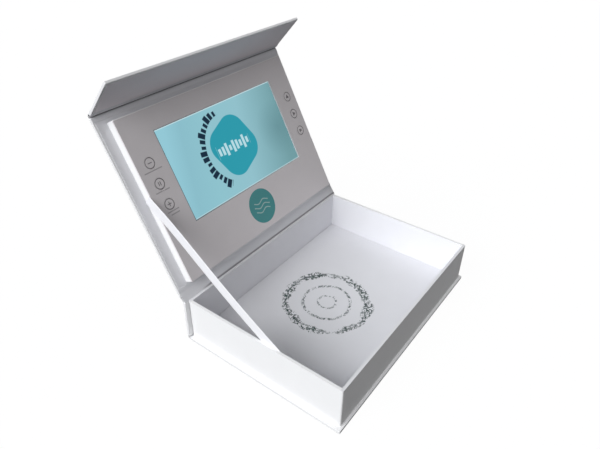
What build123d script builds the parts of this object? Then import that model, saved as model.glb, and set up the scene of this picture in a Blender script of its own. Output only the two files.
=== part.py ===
from build123d import *
from math import radians, tan
import os

# A rigid paper presentation box whose lid carries a 7-inch video player.  Millimetres.
# X runs to the right as one faces the screen, Y runs back to the hinge, and Z is up.
# The origin is the middle of the tray's footprint, on the underside of the bottom board.
# The lid is drawn open, as far as its ribbon stay lets it lean, with the front flap half folded.

# ---------------------------------------------------------------- driving sizes

# Tray: walls and floor of grey board, wrapped in paper outside and over the rim
tray_width = 229.6
tray_depth = 163.7
tray_height = 42.8
tray_wall = 2.5
tray_floor = 2.2
wrap_thickness = 0.3
inner_corner = 0.8
floor_liner_thickness = 0.4
floor_liner_gap = 0.6

# Case: one wrapped cover of four boards, folded round the tray
bottom_thickness = 2.8
spine_thickness = 2.8
lid_thickness = 2.8
flap_thickness = 2.8
liner_thickness = 0.3
liner_margin = 2.0
side_lip = 4.15
front_lip = 2.25
spine_fold_gap = 1.0
spine_top_gap = 0.5
paper_corner = 1.0
paper_edge = 0.4

# Folds: hinge lines lie in the middle of the boards' thickness
lid_lean = 28.7
flap_bend = 70.0
fold_gap = 1.7
lid_seat_gap = 0.3
flap_front_gap = 0.35
flap_table_gap = 0.4
fold_paper = 0.4
fold_clearance = 0.2
fold_overlap = 7.0

# Platform on the lid, which sinks into the tray when the box is shut
platform_side_gap = 4.85
platform_front_gap = 3.1
platform_back_gap = 3.8
platform_height = 9.4
frame_wall = 2.0
face_thickness = 1.4
foam_gap = 0.3
foam_edge = 1.0
pocket_gap = 0.4

# Screen module: picture area, its place on the platform, and its metal case
picture_width = 154.08
picture_height = 85.92
screen_shift = 1.3
screen_rise = 12.6
screen_thickness = 3.6
bezel_side = 3.5
bezel_top = 5.0
bezel_bottom = 9.1
bezel_sheet = 0.4
bezel_reveal = 1.0
glass_thickness = 1.4
cell_gap = 0.2
screen_ledge = 8.0

# Keys: three round ones each side, between the screen's case and the platform's wall; a share
# says how far a column stands from that wall, of the room that its flanges leave free
key_radius = 5.0
key_gap = 0.25
key_pitch = 19.2
key_clearance = 0.3
left_key_share = 0.424
right_key_share = 0.297
key_rise = 0.9
key_round = 0.2
key_travel = 0.25
flange_width = 0.6
flange_thickness = 0.8
flange_gap = 0.15
stem_radius = 2.0
stem_play = 0.05

# Circuit boards and switches
board_thickness = 1.2
key_board_margin = 7.5
switch_size = 4.6
switch_height = 1.6
plunger_radius = 1.2
plunger_height = 0.7
flex_thickness = 0.3
flex_width = 3.0
flex_lap = 4.0
flex_bend = 1.0

# Parts in the bay below the screen
bay_bottom_gap = 4.0
bay_top_gap = 4.4
speaker_gap = 0.5
speaker_height = 4.0
speaker_inset = 4.5
speaker_rim = 1.2
cone_depth = 2.0
cone_slope = 40.0
cap_radius = 4.2
cap_height = 0.7
tab_width = 5.0
tab_length = 4.0
cell_thickness = 4.5
battery_length = 60.0
battery_round = 1.2
speaker_battery_space = 14.0
battery_board_space = 10.0
socket_width = 7.6
socket_height = 2.7
socket_length = 5.6
socket_sheet = 0.3
socket_recess = 0.4
tongue_width = 3.8
tongue_thickness = 0.7
lead_diameter = 0.9
lead_spacing = 1.2
lead_bend = 2.5

# Connectors and chips on the main board, placed from the middle of the screen's plug
connector_length = 5.0
connector_width = 5.0
connector_height = 3.0
screen_plug_length = 38.0
screen_plug_depth = 3.5
screen_plug_height = 2.0
processor_size = 9.0
processor_height = 1.2
processor_left = 8.0
memory_length = 8.0
memory_width = 6.0
memory_height = 1.0
memory_right = 6.0
coil_size = 5.5
coil_height = 2.6
coil_right = 17.0

# Magnets
magnet_radius = 6.0
magnet_thickness = 1.5
magnet_offset = 70.0
magnet_drop = 24.0
magnet_gap = 0.05
sensor_magnet_radius = 2.5
sensor_magnet_drop = 7.0
sensor_size = 3.0
sensor_height = 1.5

# Ribbon stay on the left side
ribbon_width = 10.0
ribbon_thickness = 0.4
ribbon_platform_rise = 73.5
ribbon_rim_y = -12.0
ribbon_glued = 10.0
ribbon_tuck = 12.0
ribbon_rim_lead = 5.0

# ---------------------------------------------------------------- worked-out places

case_width = tray_width + 2 * side_lip
core_width = tray_width - 2 * wrap_thickness
core_depth = tray_depth - 2 * wrap_thickness
inner_width = tray_width - 2 * tray_wall
inner_depth = tray_depth - 2 * tray_wall
rim_z = bottom_thickness + tray_height
tray_front_y = -tray_depth / 2
tray_back_y = tray_depth / 2
spine_back_y = tray_back_y + spine_thickness
spine_low_z = bottom_thickness + spine_fold_gap
spine_top_z = rim_z - spine_top_gap

hinge_y = spine_back_y + fold_gap
hinge_z = rim_z + lid_seat_gap + lid_thickness / 2
flap_line = hinge_y - tray_front_y + front_lip + flap_front_gap + flap_thickness / 2
lid_reach = flap_line - fold_gap
flap_reach = hinge_z - flap_table_gap


# A plane on a hinge line: its Y climbs along the board, its Z faces the viewer's side
def leaning_plane(y, z, lean):
    return Plane(origin=(0, y, z), x_dir=(1, 0, 0), z_dir=Vector(0, -1, 0).rotate(Axis.X, -lean))


lid_plane = leaning_plane(hinge_y, hinge_z, lid_lean)
flap_corner = lid_plane.from_local_coords(Vector(0, flap_line, 0))
flap_plane = leaning_plane(flap_corner.Y, flap_corner.Z, lid_lean - flap_bend)

# Heights above the hinge plane, inward: lid's paper, platform's face, screen and circuit boards
lid_face = lid_thickness / 2
flap_face = flap_thickness / 2
platform_top = lid_face + platform_height
face_under = platform_top - face_thickness
screen_back = face_under - screen_thickness
board_top = lid_face + board_thickness

# Platform outline along the lid, from the hinge line
platform_low = hinge_y - (tray_back_y - tray_wall) + platform_back_gap
platform_high = hinge_y - (tray_front_y + tray_wall) - platform_front_gap
platform_width = inner_width - 2 * platform_side_gap
platform_length = platform_high - platform_low
platform_middle = (platform_low + platform_high) / 2
room_width = platform_width - 2 * frame_wall
room_length = platform_length - 2 * frame_wall
room_low = platform_low + frame_wall

# Screen
screen_middle = platform_middle + screen_rise
bezel_width = picture_width + 2 * bezel_side
bezel_height = picture_height + bezel_top + bezel_bottom
bezel_low = screen_middle - picture_height / 2 - bezel_bottom
bezel_middle = bezel_low + bezel_height / 2

# Keys
flange_radius = key_radius + flange_width
key_berth = 2 * (flange_radius + key_clearance)
left_key_room = (room_width - bezel_width) / 2 + screen_shift - key_berth
right_key_room = (room_width - bezel_width) / 2 - screen_shift - key_berth
left_keys = (key_berth - room_width) / 2 + left_key_share * left_key_room
right_keys = (room_width - key_berth) / 2 - right_key_share * right_key_room
key_middle = screen_middle + key_rise
key_places = [key_middle + key_pitch, key_middle, key_middle - key_pitch]
key_board_width = 2 * flange_radius
key_board_length = 2 * key_pitch + 2 * key_board_margin
key_board_low = key_middle - key_board_length / 2
plunger_top = board_top + switch_height + plunger_height
stem_low = plunger_top + key_travel + stem_play
flange_top = face_under - flange_gap

# Bay below the screen: speaker, battery and main board from left to right
bay_low = room_low + bay_bottom_gap
bay_high = bezel_low - bay_top_gap
bay_middle = (bay_low + bay_high) / 2
main_height = bay_high - bay_low
battery_height = main_height
speaker_radius = main_height / 2 - speaker_gap
speaker_x = -room_width / 2 + speaker_inset + speaker_radius
battery_left = speaker_x + speaker_radius + speaker_battery_space
battery_right = battery_left + battery_length
main_left = battery_right + battery_board_space
main_right = room_width / 2 - 2 * foam_gap
socket_right = platform_width / 2 - socket_recess


# ---------------------------------------------------------------- shared shapes

# A board wrapped in paper: rounded corners and softened edges
def wrapped_board(plane, width, low, high, thickness):
    with BuildPart() as board:
        with BuildSketch(plane):
            with Locations((0, (low + high) / 2)):
                RectangleRounded(width, high - low, paper_corner)
        extrude(amount=thickness)
        fillet(board.faces().sort_by(SortBy.AREA)[-2:].edges(), paper_edge)
    return board


# Paper sheet glued to the inner side of a wrapped board, short of its edges
def inner_paper(plane, low, high, face):
    with BuildPart() as paper:
        with BuildSketch(plane.offset(face - liner_thickness)):
            with Locations((0, (low + high) / 2)):
                Rectangle(case_width - 2 * liner_margin, high - low - 2 * liner_margin)
        extrude(amount=liner_thickness)
    return paper


# Two round magnets, or the pockets they sit in, sunk below a plane
def magnet_pair(plane, height, radius, depth, mode=Mode.ADD):
    with BuildSketch(plane) as discs:
        with Locations((-magnet_offset, height), (magnet_offset, height)):
            Circle(radius)
    extrude(discs.sketch, amount=-depth, mode=mode)


# A thin fold of paper along X, following a path drawn in the YZ plane
def paper_fold(points, radii):
    with BuildPart() as fold:
        with BuildSketch(Plane.YZ):
            with BuildLine():
                FilletPolyline(*points, radius=radii)
            trace(line_width=fold_paper)
        extrude(amount=case_width / 2 - paper_edge, both=True)
    return fold


# Point on a leaning plane, as the Y and Z that a sketch on Plane.YZ takes
def side_point(plane, along, height):
    point = plane.from_local_coords(Vector(0, along, height))
    return (point.Y, point.Z)


# ---------------------------------------------------------------- case and tray

bottom_board = wrapped_board(Plane.XY, case_width, tray_front_y - front_lip, tray_back_y, bottom_thickness)
bottom_board.part.label = "bottom_board"

spine_plane = leaning_plane(spine_back_y, 0, 0)
spine_board = wrapped_board(spine_plane, case_width, spine_low_z, spine_top_z, spine_thickness)
spine_board.part.label = "spine_board"

# Paper of the cover turning the corner from the bottom board to the spine
corner_y = spine_back_y - fold_paper / 2
corner_z = fold_paper / 2
base_fold = paper_fold(
    [(tray_back_y, corner_z), (corner_y, corner_z), (corner_y, spine_low_z)],
    spine_thickness - fold_paper,
)
base_fold.part.label = "base_fold"

# Tray: four walls and a floor, with pockets for the magnets in the outside of its walls
tray_plane = leaning_plane(-core_depth / 2, 0, 0)
right_wall_plane = Plane.YZ.offset(core_width / 2)
sensor_along = bay_low + sensor_size
sensor_magnet_place = (hinge_y - sensor_along, hinge_z - sensor_magnet_drop)

with BuildPart() as tray_shell:
    with BuildSketch(Plane.XY.offset(bottom_thickness)):
        RectangleRounded(core_width, core_depth, paper_corner)
    extrude(amount=tray_height - wrap_thickness)
    with BuildSketch(Plane.XY.offset(bottom_thickness + tray_floor)):
        RectangleRounded(inner_width, inner_depth, inner_corner)
    extrude(amount=tray_height, mode=Mode.SUBTRACT)
    magnet_pair(
        tray_plane,
        hinge_z - magnet_drop,
        magnet_radius + magnet_gap,
        magnet_thickness + magnet_gap,
        Mode.SUBTRACT,
    )
    with BuildSketch(right_wall_plane):
        with Locations(sensor_magnet_place):
            Circle(sensor_magnet_radius + magnet_gap)
    extrude(amount=-magnet_thickness - magnet_gap, mode=Mode.SUBTRACT)
tray_shell.part.label = "tray_shell"

# Paper round the outside of the tray and over its rim
with BuildPart() as tray_wrap:
    with BuildSketch(Plane.XY.offset(bottom_thickness)):
        RectangleRounded(tray_width, tray_depth, paper_corner + wrap_thickness)
        RectangleRounded(core_width, core_depth, paper_corner, mode=Mode.SUBTRACT)
    extrude(amount=tray_height)
    with BuildSketch(Plane.XY.offset(rim_z - wrap_thickness)):
        RectangleRounded(tray_width, tray_depth, paper_corner + wrap_thickness)
        RectangleRounded(inner_width, inner_depth, inner_corner, mode=Mode.SUBTRACT)
    extrude(amount=wrap_thickness)
tray_wrap.part.label = "tray_wrap"

# Printed sheet on the tray's floor
with BuildPart() as tray_floor_liner:
    with BuildSketch(Plane.XY.offset(bottom_thickness + tray_floor)):
        Rectangle(inner_width - 2 * floor_liner_gap, inner_depth - 2 * floor_liner_gap)
    extrude(amount=floor_liner_thickness)
tray_floor_liner.part.label = "tray_floor_liner"

with BuildPart() as front_wall_magnets:
    magnet_pair(tray_plane, hinge_z - magnet_drop, magnet_radius, magnet_thickness)
front_wall_magnets.part.label = "front_wall_magnets"

with BuildPart() as sensor_magnet:
    with BuildSketch(right_wall_plane):
        with Locations(sensor_magnet_place):
            Circle(sensor_magnet_radius)
    extrude(amount=-magnet_thickness)
sensor_magnet.part.label = "sensor_magnet"

# ---------------------------------------------------------------- lid and flap boards

lid_board = wrapped_board(
    lid_plane.offset(-lid_face), case_width, fold_gap, lid_reach, lid_thickness - liner_thickness
)
lid_board.part.label = "lid_board"

lid_liner = inner_paper(lid_plane, fold_gap, lid_reach, lid_face)
lid_liner.part.label = "lid_liner"

flap_blank = wrapped_board(
    flap_plane.offset(-flap_face), case_width, fold_gap, flap_reach, flap_thickness - liner_thickness
)
flap_under_liner = flap_plane.offset(flap_face - liner_thickness)
with BuildPart() as flap_board:
    add(flap_blank.part)
    magnet_pair(
        flap_under_liner,
        magnet_drop,
        magnet_radius + magnet_gap,
        magnet_thickness + magnet_gap,
        Mode.SUBTRACT,
    )
flap_board.part.label = "flap_board"

flap_liner = inner_paper(flap_plane, fold_gap, flap_reach, flap_face)
flap_liner.part.label = "flap_liner"

with BuildPart() as flap_magnets:
    magnet_pair(flap_under_liner, magnet_drop, magnet_radius, magnet_thickness)
flap_magnets.part.label = "flap_magnets"

# Paper folds at the two hinges, on the outside of the boards
fold_offset = fold_clearance + fold_paper / 2
fold_reach = fold_gap + fold_overlap
lid_fold = paper_fold(
    [
        (spine_back_y + fold_paper / 2, spine_top_z - fold_overlap),
        (spine_back_y + fold_paper / 2, spine_top_z),
        side_point(lid_plane, fold_gap, -lid_face - fold_offset),
        side_point(lid_plane, fold_reach, -lid_face - fold_offset),
    ],
    fold_gap / 2,
)
lid_fold.part.label = "lid_fold"

flap_fold_radius = flap_face + fold_offset
flap_fold_peak = flap_line + flap_fold_radius * tan(radians(flap_bend / 2))
flap_fold = paper_fold(
    [
        side_point(lid_plane, flap_line - fold_reach, -flap_fold_radius),
        side_point(lid_plane, flap_fold_peak, -flap_fold_radius),
        side_point(flap_plane, fold_reach, -flap_fold_radius),
    ],
    flap_fold_radius,
)
flap_fold.part.label = "flap_fold"

# ---------------------------------------------------------------- platform on the lid

platform_plane = lid_plane.offset(lid_face)
under_face_plane = lid_plane.offset(face_under)
lid_axis = Axis(lid_plane.origin, lid_plane.z_dir)
socket_middle = board_top + socket_height / 2
socket_plane = Plane(
    origin=lid_plane.from_local_coords(Vector(socket_right, bay_middle, socket_middle)),
    x_dir=lid_plane.y_dir,
    z_dir=lid_plane.x_dir,
)

with BuildPart() as platform_frame:
    with BuildSketch(platform_plane):
        with Locations((0, platform_middle)):
            RectangleRounded(platform_width, platform_length, paper_corner)
            Rectangle(room_width, room_length, mode=Mode.SUBTRACT)
    extrude(amount=platform_height - face_thickness)
    with BuildSketch(socket_plane.offset(socket_recess)):
        Rectangle(socket_width + 2 * pocket_gap, socket_height + 2 * pocket_gap)
    extrude(amount=-2 * frame_wall, mode=Mode.SUBTRACT)
platform_frame.part.label = "platform_frame"

# Face card with the screen window and six key holes
with BuildPart() as platform_face:
    with BuildSketch(under_face_plane):
        with Locations((0, platform_middle)):
            RectangleRounded(platform_width, platform_length, paper_corner)
    extrude(amount=face_thickness)
    fillet(platform_face.faces().sort_by(lid_axis)[-1].edges(), paper_edge)
    with BuildSketch(under_face_plane):
        with Locations((screen_shift, screen_middle)):
            Rectangle(picture_width, picture_height)
        with Locations(*[(x, place) for x in (left_keys, right_keys) for place in key_places]):
            Circle(key_radius + key_gap)
    extrude(amount=face_thickness, mode=Mode.SUBTRACT)
platform_face.part.label = "platform_face"

# Foam that fills the platform: a pocket with a ledge for the screen, and openings right through
# for the bay below it and for the key boards
bay_floor_low = room_low + foam_gap + foam_edge
slot_high = key_board_low + key_board_length + pocket_gap
with BuildPart() as foam_bed:
    with BuildSketch(platform_plane):
        with Locations((0, platform_middle)):
            Rectangle(room_width - 2 * foam_gap, room_length - 2 * foam_gap)
        with Locations((screen_shift, bezel_middle)):
            Rectangle(
                bezel_width - 2 * screen_ledge,
                bezel_height - 2 * screen_ledge,
                mode=Mode.SUBTRACT,
            )
        with Locations((foam_edge, (bay_floor_low + bezel_low) / 2)):
            Rectangle(room_width - 2 * foam_gap, bezel_low - bay_floor_low, mode=Mode.SUBTRACT)
        with Locations(
            (left_keys, (bay_middle + slot_high) / 2),
            (right_keys, (bay_middle + slot_high) / 2),
        ):
            Rectangle(key_board_width + 2 * pocket_gap, slot_high - bay_middle, mode=Mode.SUBTRACT)
    extrude(amount=face_under - lid_face)
    with BuildSketch(lid_plane.offset(screen_back)):
        with Locations((screen_shift, bezel_middle)):
            Rectangle(bezel_width + 2 * pocket_gap, bezel_height + 2 * pocket_gap)
    extrude(amount=screen_thickness, mode=Mode.SUBTRACT)
foam_bed.part.label = "foam_bed"

# ---------------------------------------------------------------- screen module

# Metal case: open at the front inside a narrow lip, closed at the back
with BuildPart() as screen_bezel:
    with BuildSketch(lid_plane.offset(screen_back)):
        with Locations((screen_shift, bezel_middle)):
            Rectangle(bezel_width, bezel_height)
    extrude(amount=screen_thickness)
    with BuildSketch(lid_plane.offset(screen_back + bezel_sheet)):
        with Locations((screen_shift, bezel_middle)):
            Rectangle(bezel_width - 2 * bezel_sheet, bezel_height - 2 * bezel_sheet)
    extrude(amount=screen_thickness - 2 * bezel_sheet, mode=Mode.SUBTRACT)
    with BuildSketch(under_face_plane):
        with Locations((screen_shift, screen_middle)):
            Rectangle(picture_width + 2 * bezel_reveal, picture_height + 2 * bezel_reveal)
    extrude(amount=-2 * bezel_sheet, mode=Mode.SUBTRACT)
screen_bezel.part.label = "screen_bezel"

cell_width = bezel_width - 2 * bezel_sheet - 2 * cell_gap
cell_height = bezel_height - 2 * bezel_sheet - 2 * cell_gap
with BuildPart() as screen_glass:
    with BuildSketch(lid_plane.offset(face_under - bezel_sheet)):
        with Locations((screen_shift, bezel_middle)):
            Rectangle(cell_width, cell_height)
    extrude(amount=-glass_thickness)
screen_glass.part.label = "screen_glass"

with BuildPart() as screen_backlight:
    with BuildSketch(lid_plane.offset(screen_back + bezel_sheet)):
        with Locations((screen_shift, bezel_middle)):
            Rectangle(cell_width, cell_height)
    extrude(amount=screen_thickness - 2 * bezel_sheet - glass_thickness)
screen_backlight.part.label = "screen_backlight"


# ---------------------------------------------------------------- keys and their boards

# Round key, flush with the face: cap through the hole, flange behind it, stem to the switch
def make_key(x, along):
    with BuildPart() as key:
        with BuildSketch(lid_plane.offset(stem_low)):
            with Locations((x, along)):
                Circle(stem_radius)
        extrude(amount=flange_top - stem_low)
        with BuildSketch(lid_plane.offset(flange_top - flange_thickness)):
            with Locations((x, along)):
                Circle(flange_radius)
        extrude(amount=flange_thickness)
        with BuildSketch(lid_plane.offset(flange_top)):
            with Locations((x, along)):
                Circle(key_radius)
        extrude(amount=platform_top - flange_top)
        fillet(key.faces().sort_by(lid_axis)[-1].edges(), key_round)
    return key


keys = {}
for side, column in (("left", left_keys), ("right", right_keys)):
    for number, place in enumerate(key_places, start=1):
        name = f"key_{side}_{number}"
        keys[name] = make_key(column, place)
        keys[name].part.label = name


# Narrow circuit board behind a column of keys
def make_key_board(x):
    with BuildPart() as board:
        with BuildSketch(lid_plane.offset(lid_face)):
            with Locations((x, key_middle)):
                RectangleRounded(key_board_width, key_board_length, paper_corner)
        extrude(amount=board_thickness)
    return board


# Three push switches on that board, each with its round plunger
def make_switches(x):
    with BuildPart() as switches:
        with BuildSketch(lid_plane.offset(board_top)):
            with Locations(*[(x, place) for place in key_places]):
                Rectangle(switch_size, switch_size)
        extrude(amount=switch_height)
        with BuildSketch(lid_plane.offset(board_top + switch_height)):
            with Locations(*[(x, place) for place in key_places]):
                Circle(plunger_radius)
        extrude(amount=plunger_height)
    return switches


left_key_board = make_key_board(left_keys)
left_key_board.part.label = "left_key_board"
right_key_board = make_key_board(right_keys)
right_key_board.part.label = "right_key_board"
left_switches = make_switches(left_keys)
left_switches.part.label = "left_switches"
right_switches = make_switches(right_keys)
right_switches.part.label = "right_switches"

# ---------------------------------------------------------------- bay below the screen

with BuildPart() as main_board:
    with BuildSketch(lid_plane.offset(lid_face)):
        with Locations(((main_left + main_right) / 2, bay_middle)):
            Rectangle(main_right - main_left, main_height)
    extrude(amount=board_thickness)
main_board.part.label = "main_board"

# Chips and connectors, each as (middle along X, middle along the lid, width, length, height)
connector_x = main_left + connector_length / 2 + cell_gap
battery_plug_along = bay_high - connector_width
speaker_plug_along = bay_low + connector_width
screen_plug_x = main_left + 2 * connector_length + connector_width + screen_plug_length / 2
screen_plug_along = bay_high - flex_lap - screen_plug_depth / 2
chip_row = (bay_low + screen_plug_along - screen_plug_depth / 2) / 2
chip_rows = [
    (connector_x, battery_plug_along, connector_length, connector_width, connector_height),
    (connector_x, speaker_plug_along, connector_length, connector_width, connector_height),
    (screen_plug_x, screen_plug_along, screen_plug_length, screen_plug_depth, screen_plug_height),
    (screen_plug_x - processor_left, chip_row, processor_size, processor_size, processor_height),
    (screen_plug_x + memory_right, chip_row, memory_length, memory_width, memory_height),
    (screen_plug_x + coil_right, chip_row, coil_size, coil_size, coil_height),
]
with BuildPart() as board_chips:
    for x, along, width, length, height in chip_rows:
        with BuildSketch(lid_plane.offset(board_top)):
            with Locations((x, along)):
                Rectangle(width, length)
        extrude(amount=height)
board_chips.part.label = "board_chips"

# Magnetic switch that starts the film as the lid opens
with BuildPart() as lid_sensor:
    with BuildSketch(lid_plane.offset(board_top)):
        with Locations((main_right - sensor_size, sensor_along)):
            Rectangle(sensor_size, sensor_size)
    extrude(amount=sensor_height)
lid_sensor.part.label = "lid_sensor"

# Charging and data socket: folded steel shell with a contact tongue, open to the right
with BuildPart() as charge_socket:
    with BuildSketch(socket_plane):
        Rectangle(socket_width, socket_height)
    extrude(amount=-socket_length)
    with BuildSketch(socket_plane):
        Rectangle(socket_width - 2 * socket_sheet, socket_height - 2 * socket_sheet)
        Rectangle(tongue_width, tongue_thickness, mode=Mode.SUBTRACT)
    extrude(amount=-socket_length + socket_sheet, mode=Mode.SUBTRACT)
charge_socket.part.label = "charge_socket"

# Flat pouch cell
with BuildPart() as battery:
    with BuildSketch(lid_plane.offset(lid_face)):
        with Locations(((battery_left + battery_right) / 2, bay_middle)):
            Rectangle(battery_length, battery_height)
    extrude(amount=cell_thickness)
    fillet(battery.edges().filter_by(Axis.X), battery_round)
battery.part.label = "battery"

# Speaker: round basket with a sunk cone, a cap in its middle, and a tab for its leads
with BuildPart() as speaker:
    with BuildSketch(lid_plane.offset(lid_face)):
        with Locations((speaker_x, bay_middle)):
            Circle(speaker_radius)
        with Locations((speaker_x + speaker_radius, bay_middle)):
            Rectangle(2 * tab_length, tab_width)
    extrude(amount=speaker_height)
    with BuildSketch(lid_plane.offset(lid_face + speaker_height)):
        with Locations((speaker_x, bay_middle)):
            Circle(speaker_radius - speaker_rim)
    extrude(amount=-cone_depth, taper=cone_slope, mode=Mode.SUBTRACT)
    with BuildSketch(lid_plane.offset(lid_face + speaker_height - cone_depth)):
        with Locations((speaker_x, bay_middle)):
            Circle(cap_radius)
    extrude(amount=cap_height)
speaker.part.label = "speaker"


# Two leads side by side, one above the other, along a path in the lid's plane
def make_leads(points, height):
    with BuildPart() as leads:
        for level in (height, height + lead_spacing):
            with BuildLine(lid_plane.offset(level)) as route:
                FilletPolyline(*points, radius=lead_bend)
            with BuildSketch(Plane(origin=route.line @ 0, z_dir=route.line % 0)):
                Circle(lead_diameter / 2)
            sweep(path=route.line)
    return leads


lead_height = board_top + connector_height / 2 - lead_spacing / 2
lead_row = bay_low - bay_bottom_gap / 2
plug_face = connector_x - connector_length / 2
battery_lead_turn = (battery_right + plug_face) / 2
battery_leads = make_leads(
    [
        (battery_right, battery_plug_along - lead_bend),
        (battery_lead_turn - lead_bend / 2, battery_plug_along - lead_bend),
        (battery_lead_turn + lead_bend / 2, battery_plug_along),
        (plug_face, battery_plug_along),
    ],
    lead_height,
)
battery_leads.part.label = "battery_leads"

speaker_tab_face = speaker_x + speaker_radius + tab_length
speaker_leads = make_leads(
    [
        (speaker_tab_face, bay_middle),
        (speaker_tab_face + 2 * lead_bend, bay_middle),
        (speaker_tab_face + 3 * lead_bend, lead_row),
        (plug_face - 3 * lead_bend, lead_row),
        (plug_face - 2 * lead_bend, speaker_plug_along),
        (plug_face, speaker_plug_along),
    ],
    lead_height,
)
speaker_leads.part.label = "speaker_leads"


# Flat cable lying on the boards, drawn along its middle
def make_flex(points, width):
    with BuildPart() as flex:
        with BuildSketch(lid_plane.offset(board_top)):
            with BuildLine():
                Polyline(*points)
            trace(line_width=width)
        extrude(amount=flex_thickness)
    return flex


flex_row = bezel_low - flex_width / 2 - cell_gap
left_flex_end = screen_plug_x - screen_plug_length / 2 - flex_width
left_flex = make_flex(
    [
        (left_keys, key_board_low + flex_lap),
        (left_keys, flex_row),
        (left_flex_end, flex_row),
        (left_flex_end, bay_high - flex_lap),
    ],
    flex_width,
)
left_flex.part.label = "left_flex"

right_flex = make_flex(
    [(right_keys, key_board_low + flex_lap), (right_keys, bay_high - flex_lap)], flex_width
)
right_flex.part.label = "right_flex"

# The screen's own cable leaves the lower edge of its case and drops to the main board
flex_middle = board_top + flex_thickness / 2
flex_drop = bezel_low - 2 * flex_bend
screen_flex_height = screen_back + screen_thickness / 2
with BuildPart() as screen_flex:
    with BuildSketch(Plane.YZ.offset(screen_plug_x)):
        with BuildLine():
            FilletPolyline(
                side_point(lid_plane, bezel_low, screen_flex_height),
                side_point(lid_plane, flex_drop, screen_flex_height),
                side_point(lid_plane, flex_drop, flex_middle),
                side_point(lid_plane, bay_high - flex_lap, flex_middle),
                radius=flex_bend,
            )
        trace(line_width=flex_thickness)
    extrude(amount=(screen_plug_length - flex_width) / 2, both=True)
screen_flex.part.label = "screen_flex"

# ---------------------------------------------------------------- ribbon stay

# Strip from the platform's left side to the inside of the tray's left wall.  Its path is drawn
# in a plane that holds X and the ribbon's run, and its width is extruded across the run.
platform_side_x = -platform_width / 2 - fold_clearance - ribbon_thickness / 2
wall_side_x = -inner_width / 2 + ribbon_thickness / 2
ribbon_along = platform_low + ribbon_platform_rise
ribbon_top = lid_plane.from_local_coords(Vector(0, ribbon_along, platform_top))
ribbon_low = Vector(0, ribbon_rim_y, rim_z)
ribbon_run = ribbon_low - ribbon_top
ribbon_plane = Plane(origin=ribbon_top, x_dir=(1, 0, 0), z_dir=Vector(1, 0, 0).cross(ribbon_run))
with BuildPart() as stay_ribbon:
    with BuildSketch(ribbon_plane):
        with BuildLine():
            Polyline(
                (platform_side_x, -ribbon_glued),
                (platform_side_x, ribbon_glued),
                (wall_side_x, ribbon_run.length - ribbon_rim_lead),
                (wall_side_x, ribbon_run.length + ribbon_tuck),
            )
        trace(line_width=ribbon_thickness)
    extrude(amount=ribbon_width / 2, both=True)
stay_ribbon.part.label = "stay_ribbon"

# ---------------------------------------------------------------- files

pieces = [
    bottom_board,
    spine_board,
    base_fold,
    tray_shell,
    tray_wrap,
    tray_floor_liner,
    front_wall_magnets,
    sensor_magnet,
    stay_ribbon,
    lid_fold,
    lid_board,
    lid_liner,
    platform_frame,
    platform_face,
    foam_bed,
    screen_bezel,
    screen_glass,
    screen_backlight,
    screen_flex,
    left_key_board,
    right_key_board,
    left_switches,
    right_switches,
    left_flex,
    right_flex,
    main_board,
    board_chips,
    lid_sensor,
    charge_socket,
    battery,
    battery_leads,
    speaker,
    speaker_leads,
    flap_fold,
    flap_board,
    flap_liner,
    flap_magnets,
    *keys.values(),
]

os.makedirs("parts", exist_ok=True)
for piece in pieces:
    export_step(piece.part, f"parts/{piece.part.label}.step")
    print(piece.part.label, len(piece.part.solids()), "solids", round(piece.part.volume), "mm3")
print("lid hinge line", round(hinge_y, 3), round(hinge_z, 3))
print("flap hinge line", round(flap_corner.Y, 3), round(flap_corner.Z, 3))
print("ribbon end to end", round(ribbon_run.length + ribbon_glued + ribbon_tuck, 1))
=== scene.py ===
# Looks for a rigid paper presentation box with a video screen in its lid.
# Everything is in metres, in the frame of the imported model; X right, Y back, Z up.
# Prints, wear, painted shade and painted highlights are drawn in millimetres.
from math import cos, pi, radians, sin, tan

import bpy
import numpy as np
from mathutils import Matrix, Vector


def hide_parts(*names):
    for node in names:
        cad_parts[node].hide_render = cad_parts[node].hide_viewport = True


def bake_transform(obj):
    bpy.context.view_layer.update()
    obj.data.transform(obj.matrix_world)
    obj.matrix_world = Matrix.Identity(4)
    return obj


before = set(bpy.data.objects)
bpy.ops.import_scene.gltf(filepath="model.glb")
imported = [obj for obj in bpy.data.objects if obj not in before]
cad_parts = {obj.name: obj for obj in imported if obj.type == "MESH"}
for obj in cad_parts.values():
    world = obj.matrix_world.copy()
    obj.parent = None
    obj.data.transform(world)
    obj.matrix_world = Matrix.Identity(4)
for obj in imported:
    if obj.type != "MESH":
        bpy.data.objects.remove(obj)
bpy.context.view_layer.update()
print("frame loaded:", len(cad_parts), "nodes")

# Camera, fitted to the corners of the box in the photograph
cameraView = {
    "place": (-0.34817, -0.21033, 0.37962),
    "right": (0.59690681, -0.80222039, 0.01202933),
    "down": (-0.45089298, -0.34782142, -0.82201933),
    "forward": (0.66362472, 0.485245, -0.56933252),
    "lens": 32.86,
    "sensorWidth": 36.0,
}


def addToScene(name, data):
    made = bpy.data.objects.new(name, data)
    bpy.context.scene.collection.objects.link(made)
    return made


def makeCamera(view):
    # The camera's own axes are the columns of its matrix: right, up, and back towards the eye
    data = bpy.data.cameras.new("camera")
    data.lens, data.sensor_width = view["lens"], view["sensorWidth"]
    axes = np.array([view["right"], view["down"], view["forward"]]) * [[1], [-1], [-1]]
    turn = Matrix(axes.T.tolist()).to_4x4()
    camera = addToScene("camera", data)
    camera.matrix_world = Matrix.Translation(view["place"]) @ turn
    bpy.context.scene.camera = camera


makeCamera(cameraView)
print("camera placed")

# Places that the model shares with its source, in metres and degrees
box = {
    "hingeY": 0.08635,
    "hingeZ": 0.0473,
    "lidLean": 28.7,
    "flapLine": 0.1722,
    "flapBend": 70.0,
    "halfCase": 0.11895,
    "foldGap": 0.0017,
    "spineY": 0.08465,
    "spineTop": 0.0451,
}
toMm = 1000.0


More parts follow.
